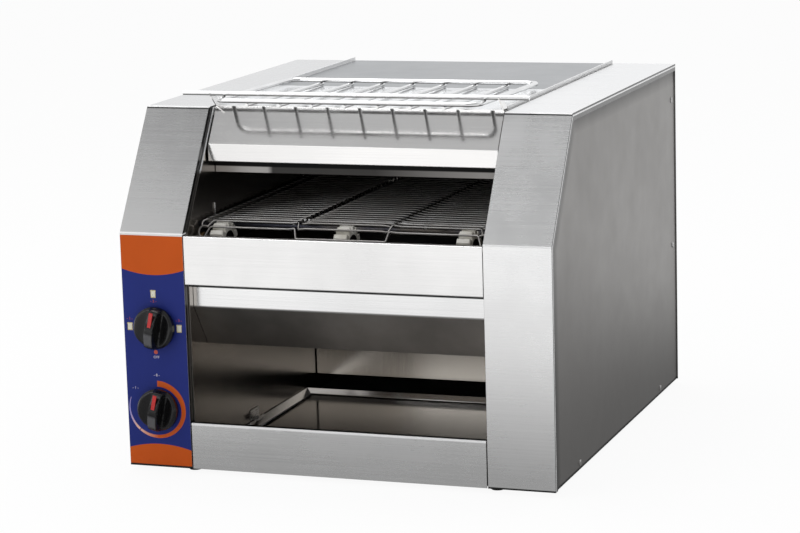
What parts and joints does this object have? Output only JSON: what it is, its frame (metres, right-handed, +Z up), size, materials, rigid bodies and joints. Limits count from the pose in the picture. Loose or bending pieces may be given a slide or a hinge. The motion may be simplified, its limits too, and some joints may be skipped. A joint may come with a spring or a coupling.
{
  "type": "conveyor toaster",
  "caption": "Counter-top conveyor toaster with a slanted front, wire belt, heating rods above and below it, rear chute to a front crumb tray, two control knobs and a wire rack on top.",
  "frame": {"origin": "middle of the box that holds the whole object, at the underside of the feet", "axes": "+Z up; the front with the mouth and the knobs faces -Y; +X is to the right seen from the front"},
  "size_m": [0.48, 0.56, 0.4039],
  "materials": {
    "stainless_outer": "brushed satin",
    "stainless_side": "brushed satin",
    "stainless_inner": "dull, slightly heat tinted",
    "stainless_polished": "polished",
    "plated_steel": "zinc plated",
    "belt_wire": "drawn wire",
    "chromed_wire": "bright plated",
    "turned_steel": "turned",
    "spring_steel": "bright",
    "screw_steel": "bright",
    "chain_steel": "oiled",
    "bearing_bronze": "sintered",
    "wheel_plastic": "off-white",
    "element_sheath": "oxidised",
    "ceramic_body": "unglazed ceramic",
    "terminal_brass": "plain",
    "cast_case": "as cast",
    "motor_paint": "semi-gloss black",
    "overlay_film": "printed film, blue with orange bands",
    "knob_black": "satin black",
    "pointer_red": "red",
    "switch_plastic": "dark grey",
    "board_green": "glass fibre board",
    "terminal_plastic": "off-white",
    "gland_plastic": "black",
    "foot_rubber": "matte"
  },
  "bodies": {
    "cabinet": {"left_casing": "stainless_outer", "right_casing": "stainless_outer", "front_cross_panel": "stainless_outer", "hood_panel": "stainless_outer", "rack_deck": "stainless_outer", "top_cover": "stainless_outer", "left_side_panel": "stainless_side", "right_side_panel": "stainless_side", "rear_panel": "stainless_side", "left_chamber_wall": "stainless_inner", "right_chamber_wall": "stainless_inner", "upper_reflector": "stainless_inner", "lower_reflector": "stainless_inner", "belt_underpan": "stainless_inner", "toast_chute": "stainless_polished", "front_deflector": "stainless_polished", "base_pan": "plated_steel", "motor_bracket": "plated_steel", "belt_support_frame": "plated_steel", "belt_upper_run": "belt_wire", "belt_lower_run": "belt_wire", "belt_front_turn": "belt_wire", "belt_rear_turn": "belt_wire", "bread_guide_pins": "turned_steel", "tray_clips": "spring_steel", "cover_screws": "screw_steel", "foot_screws": "screw_steel", "drive_chain": "chain_steel", "shaft_bushes": "bearing_bronze", "upper_heating_rods": "element_sheath", "lower_heating_rods": "element_sheath", "rod_insulators": "ceramic_body", "rod_terminals": "terminal_brass", "gearbox": "cast_case", "drive_motor": "motor_paint", "control_overlay": "overlay_film", "selector_switch": "switch_plastic", "speed_potentiometer": "switch_plastic", "speed_control_board": "board_green", "terminal_block": "terminal_plastic", "cable_gland": "gland_plastic", "rubber_feet": "foot_rubber"},
    "front_roller": {"front_shaft": "turned_steel", "front_shaft_collars": "turned_steel", "front_belt_sprockets": "wheel_plastic"},
    "drive_roller": {"drive_shaft": "turned_steel", "drive_shaft_collars": "turned_steel", "rear_belt_sprockets": "wheel_plastic", "driven_chain_wheel": "chain_steel"},
    "motor_output": {"motor_chain_wheel": "chain_steel", "gearbox_shaft": "turned_steel"},
    "selector": {"selector_knob": "knob_black", "selector_pointer": "pointer_red", "selector_spindle": "turned_steel"},
    "speed_control": {"speed_knob": "knob_black", "speed_pointer": "pointer_red", "speed_spindle": "turned_steel"},
    "tray": {"crumb_tray": "stainless_polished", "tray_front_panel": "stainless_outer"},
    "rack": {"warming_rack": "chromed_wire"}
  },
  "joints": [
    {"name": "drive_spin", "type": "hinge", "parent": "cabinet", "child": "drive_roller", "pos_m": [0, 0.1496, 0.2438], "axis": [1, 0, 0], "continuous": true},
    {"name": "front_shaft_spin", "type": "hinge", "parent": "cabinet", "child": "front_roller", "pos_m": [0, -0.206, 0.2438], "axis": [1, 0, 0], "continuous": true},
    {"name": "motor_spin", "type": "hinge", "parent": "cabinet", "child": "motor_output", "pos_m": [0.196, 0.072, 0.135], "axis": [1, 0, 0], "continuous": true},
    {"name": "selector_turn", "type": "hinge", "parent": "cabinet", "child": "selector", "pos_m": [-0.2018, -0.27, 0.1592], "axis": [0, 1, 0], "range_deg": [-102, 168]},
    {"name": "speed_turn", "type": "hinge", "parent": "cabinet", "child": "speed_control", "pos_m": [-0.2018, -0.27, 0.0693], "axis": [0, 1, 0], "range_deg": [-16, 270]},
    {"name": "tray_slide", "type": "slide", "parent": "cabinet", "child": "tray", "axis": [0, -1, 0], "range_m": [0, 0.3]},
    {"name": "rack_lift", "type": "slide", "parent": "cabinet", "child": "rack", "axis": [0, 0, 1], "range_m": [0, 0.1]}
  ],
  "couplings": [
    {"joint": "front_shaft_spin", "follows": "drive_spin", "ratio": 1},
    {"joint": "motor_spin", "follows": "drive_spin", "ratio": 2}
  ]
}
